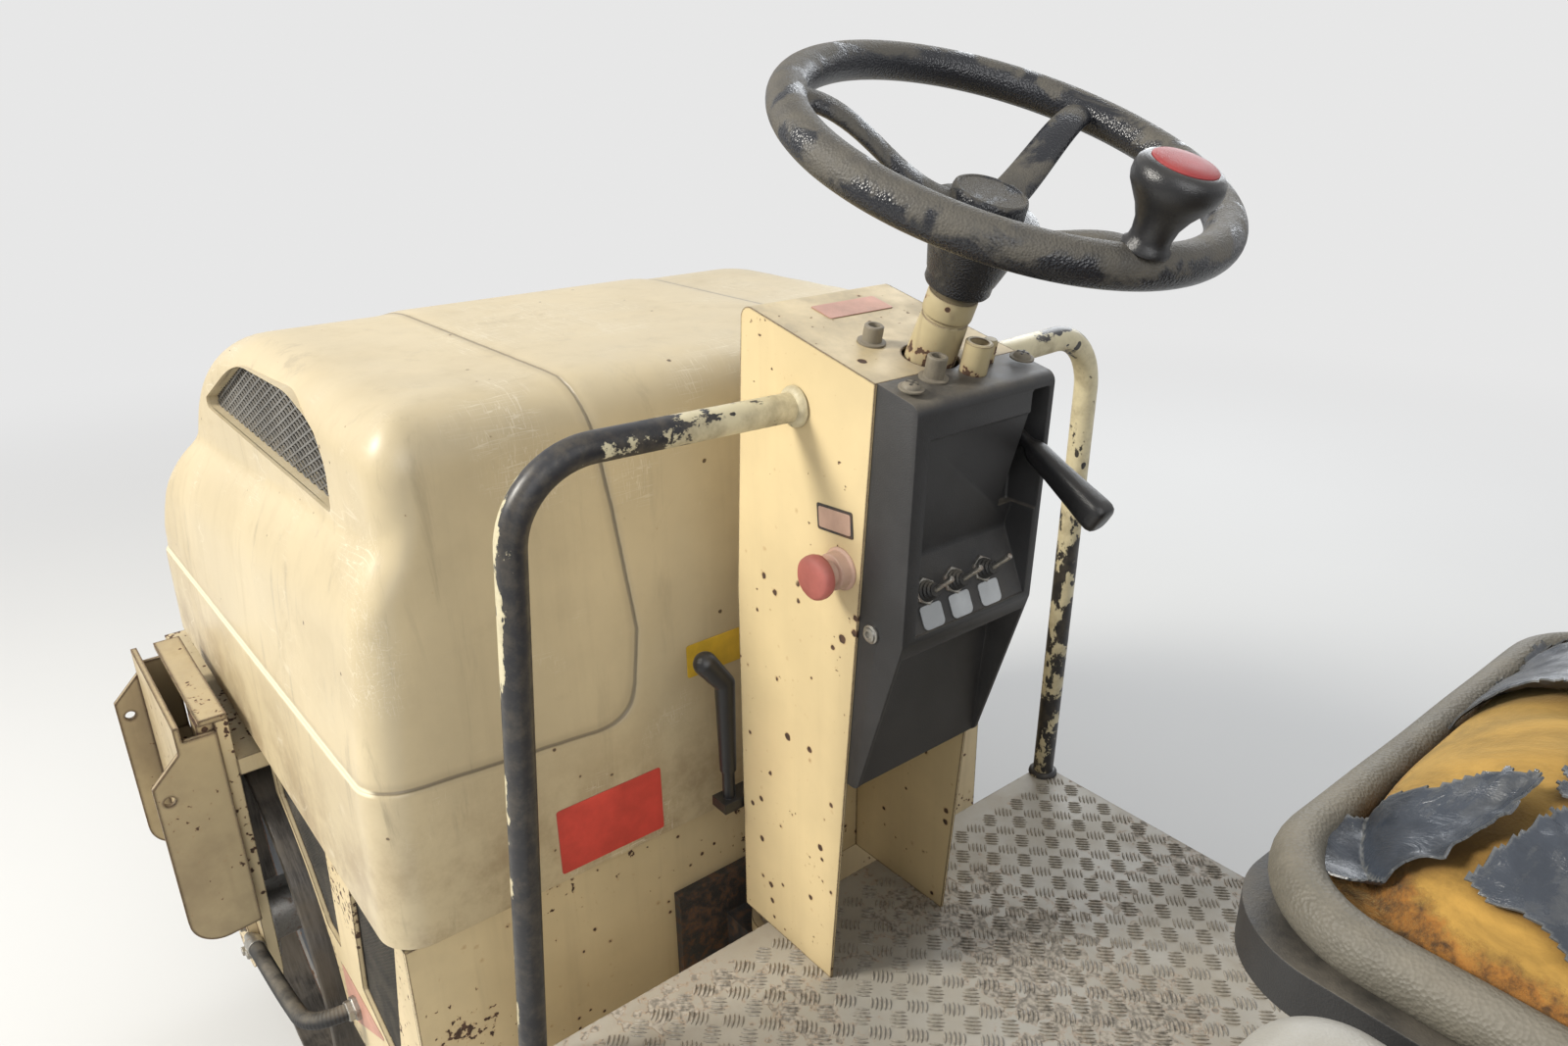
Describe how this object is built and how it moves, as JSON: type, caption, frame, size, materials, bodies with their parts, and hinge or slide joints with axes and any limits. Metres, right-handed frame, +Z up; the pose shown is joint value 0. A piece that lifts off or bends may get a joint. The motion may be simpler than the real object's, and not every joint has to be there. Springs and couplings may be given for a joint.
{
  "type": "ride-on tandem road roller",
  "caption": "Small articulated ride-on road roller with two smooth steel drums, tilting hood, operator seat and steering column.",
  "frame": {"origin": "on the ground below the centre pivot's axis, midway between the two drum axles", "axes": "+X forward, +Y to the machine's left, +Z up"},
  "size_m": [2.16, 1.134, 1.4986],
  "materials": {
    "cream_paint": "satin",
    "cream_moulding": "satin",
    "drum_steel": "worn",
    "machined_steel": "satin",
    "dark_steel": "matte",
    "black_plastic": "matte",
    "grey_plastic": "matte",
    "red_plastic": "faded",
    "tread_plate": "worn",
    "cast_grey": "matte",
    "hose_rubber": "matte",
    "seat_vinyl": "torn"
  },
  "bodies": {
    "rear_unit": {"rear_frame": "cream_paint", "rear_sides": "cream_paint", "rear_arms": "cream_paint", "rear_stub_axles": "machined_steel", "rear_scrapers": "dark_steel", "pivot_pin": "machined_steel", "platform": "tread_plate", "side_tanks": "grey_plastic", "seat_pedestal": "dark_steel", "seat_pan": "black_plastic", "seat_cushion": "seat_vinyl", "seat_backrest": "seat_vinyl", "console_pillar": "cream_paint", "console_cover": "black_plastic", "drive_lever": "black_plastic", "toggle_switches": "black_plastic", "stop_button": "red_plastic", "column_tube": "cream_paint", "column_bracket": "dark_steel", "handrails": "cream_paint", "hand_lever": "black_plastic"},
    "front_unit": {"front_frame": "cream_paint", "bulkhead": "cream_paint", "front_sides": "cream_paint", "side_vents": "black_plastic", "front_arms": "cream_paint", "front_boxes": "cream_paint", "wear_bars": "dark_steel", "front_stub_axles": "machined_steel", "front_scrapers": "dark_steel", "pivot_block": "dark_steel", "engine_block": "cast_grey", "hinge_lugs": "dark_steel", "hydraulic_hose": "hose_rubber"},
    "front_roller": {"front_drum": "drum_steel", "front_drum_ends": "dark_steel"},
    "rear_roller": {"rear_drum": "drum_steel", "rear_drum_ends": "dark_steel"},
    "hood_lid": {"hood": "cream_moulding", "hood_grilles": "cream_paint", "hinge_arms": "dark_steel"},
    "steering": {"steering_wheel": "black_plastic", "spinner_knob": "black_plastic"},
    "cylinder_barrel": {"steer_barrel": "dark_steel"},
    "cylinder_ram": {"steer_ram": "machined_steel"}
  },
  "joints": [
    {"name": "articulation", "type": "hinge", "parent": "rear_unit", "child": "front_unit", "pos_m": [0, 0, 0.46], "axis": [0, 0, 1], "range_deg": [-18, 18]},
    {"name": "front_drum_spin", "type": "hinge", "parent": "front_unit", "child": "front_roller", "pos_m": [0.72, 0, 0.29], "axis": [0, 1, 0], "continuous": true},
    {"name": "rear_drum_spin", "type": "hinge", "parent": "rear_unit", "child": "rear_roller", "pos_m": [-0.72, 0, 0.29], "axis": [0, 1, 0], "continuous": true},
    {"name": "steering_turn", "type": "hinge", "parent": "rear_unit", "child": "steering", "pos_m": [-0.28, 0, 1.42], "axis": [-0.3891, 0, 0.9212], "range_deg": [-540, 540]},
    {"name": "hood_tilt", "type": "hinge", "parent": "front_unit", "child": "hood_lid", "pos_m": [1.068, 0, 0.64], "axis": [0, 1, 0], "range_deg": [0, 65]},
    {"name": "barrel_swing", "type": "hinge", "parent": "rear_unit", "child": "cylinder_barrel", "pos_m": [-0.048, -0.27, 0.33], "axis": [0, 0, 1], "range_deg": [-2, 2]},
    {"name": "ram_slide", "type": "slide", "parent": "cylinder_barrel", "child": "cylinder_ram", "axis": [0.3659, 0.9307, 0], "range_m": [-0.0175, 0.0175]}
  ],
  "couplings": [
    {"joint": "barrel_swing", "follows": "articulation", "ratio": -0.0679},
    {"joint": "ram_slide", "follows": "articulation", "m_per_rad": 0.0532}
  ]
}
